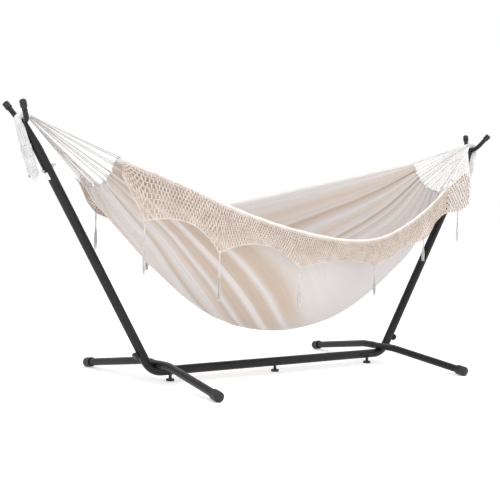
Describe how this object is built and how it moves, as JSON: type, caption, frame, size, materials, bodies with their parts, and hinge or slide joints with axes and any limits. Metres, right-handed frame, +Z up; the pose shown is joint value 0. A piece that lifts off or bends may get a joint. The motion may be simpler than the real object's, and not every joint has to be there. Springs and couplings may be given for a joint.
{
  "type": "hammock on stand",
  "caption": "Fringed cloth hammock slung between the forked posts of a knock-down tubular steel stand; it swings on its two rope ends.",
  "frame": {"origin": "on the floor, under the middle of the beam and of the whole object", "axes": "+X along the beam, +Y across it, +Z up"},
  "size_m": [2.5136, 1.043, 1.0986],
  "materials": {
    "black_steel": "satin powder coat",
    "black_plastic": "moulded, matt",
    "black_rubber": "matt",
    "zinc_steel": "zinc plated",
    "cotton_cloth": "plain weave, woven bands",
    "crochet_cotton": "openwork crochet",
    "cotton_string": "twisted cord",
    "label_paper": "blank"
  },
  "bodies": {
    "root": {"beam_left": "black_steel", "beam_right": "black_steel", "weld_nuts": "zinc_steel", "label_left": "label_paper", "corner_left": "black_steel", "post_lower_left": "black_steel", "post_upper_left": "black_steel", "fork_left": "black_steel", "foot_crosspiece_left": "black_steel", "post_bolt_left": "zinc_steel", "post_nut_left": "zinc_steel", "rope_end_left": "cotton_string", "rope_whipping_left": "cotton_string", "whipping_end_left": "cotton_string", "fork_cap_left_near": "black_rubber", "foot_left_near": "black_steel", "foot_cap_left_near": "black_plastic", "fork_cap_left_far": "black_rubber", "foot_left_far": "black_steel", "foot_cap_left_far": "black_plastic", "corner_right": "black_steel", "post_lower_right": "black_steel", "post_upper_right": "black_steel", "fork_right": "black_steel", "foot_crosspiece_right": "black_steel", "post_bolt_right": "zinc_steel", "post_nut_right": "zinc_steel", "rope_end_right": "cotton_string", "rope_whipping_right": "cotton_string", "whipping_end_right": "cotton_string", "fork_cap_right_near": "black_rubber", "foot_right_near": "black_steel", "foot_cap_right_near": "black_plastic", "fork_cap_right_far": "black_rubber", "foot_right_far": "black_steel", "foot_cap_right_far": "black_plastic"},
    "hammock": {"bed_cloth": "cotton_cloth", "strings_left": "cotton_string", "strings_right": "cotton_string", "gathered_rope_left": "cotton_string", "gathered_rope_right": "cotton_string", "lace_near": "crochet_cotton", "lace_far": "crochet_cotton", "tassels_near": "crochet_cotton", "tassels_far": "crochet_cotton"},
    "post_knob_left": {"post_knob_left": "black_plastic", "post_knob_stud_left": "zinc_steel"},
    "post_knob_right": {"post_knob_right": "black_plastic", "post_knob_stud_right": "zinc_steel"},
    "beam_pad_left": {"beam_pad_left": "black_plastic", "beam_pad_stud_left": "zinc_steel"},
    "beam_pad_middle": {"beam_pad_middle": "black_plastic", "beam_pad_stud_middle": "zinc_steel"},
    "beam_pad_right": {"beam_pad_right": "black_plastic", "beam_pad_stud_right": "zinc_steel"}
  },
  "joints": [
    {"name": "hammock_swing", "type": "hinge", "parent": "root", "child": "hammock", "pos_m": [0, 0, 1.04144], "axis": [1, 0, 0], "range_deg": [-20, 15]},
    {"name": "post_knob_left_turn", "type": "hinge", "parent": "root", "child": "post_knob_left", "pos_m": [-0.68339, 0, 0.12691], "axis": [-0.8637, 0, -0.5041], "continuous": true},
    {"name": "post_knob_right_turn", "type": "hinge", "parent": "root", "child": "post_knob_right", "pos_m": [0.68339, 0, 0.12691], "axis": [0.8637, 0, -0.5041], "continuous": true},
    {"name": "beam_pad_left_turn", "type": "hinge", "parent": "root", "child": "beam_pad_left", "pos_m": [-0.542, 0, 0], "axis": [0, 0, 1], "continuous": true},
    {"name": "beam_pad_middle_turn", "type": "hinge", "parent": "root", "child": "beam_pad_middle", "pos_m": [0, 0, 0], "axis": [0, 0, 1], "continuous": true},
    {"name": "beam_pad_right_turn", "type": "hinge", "parent": "root", "child": "beam_pad_right", "pos_m": [0.542, 0, 0], "axis": [0, 0, 1], "continuous": true}
  ]
}
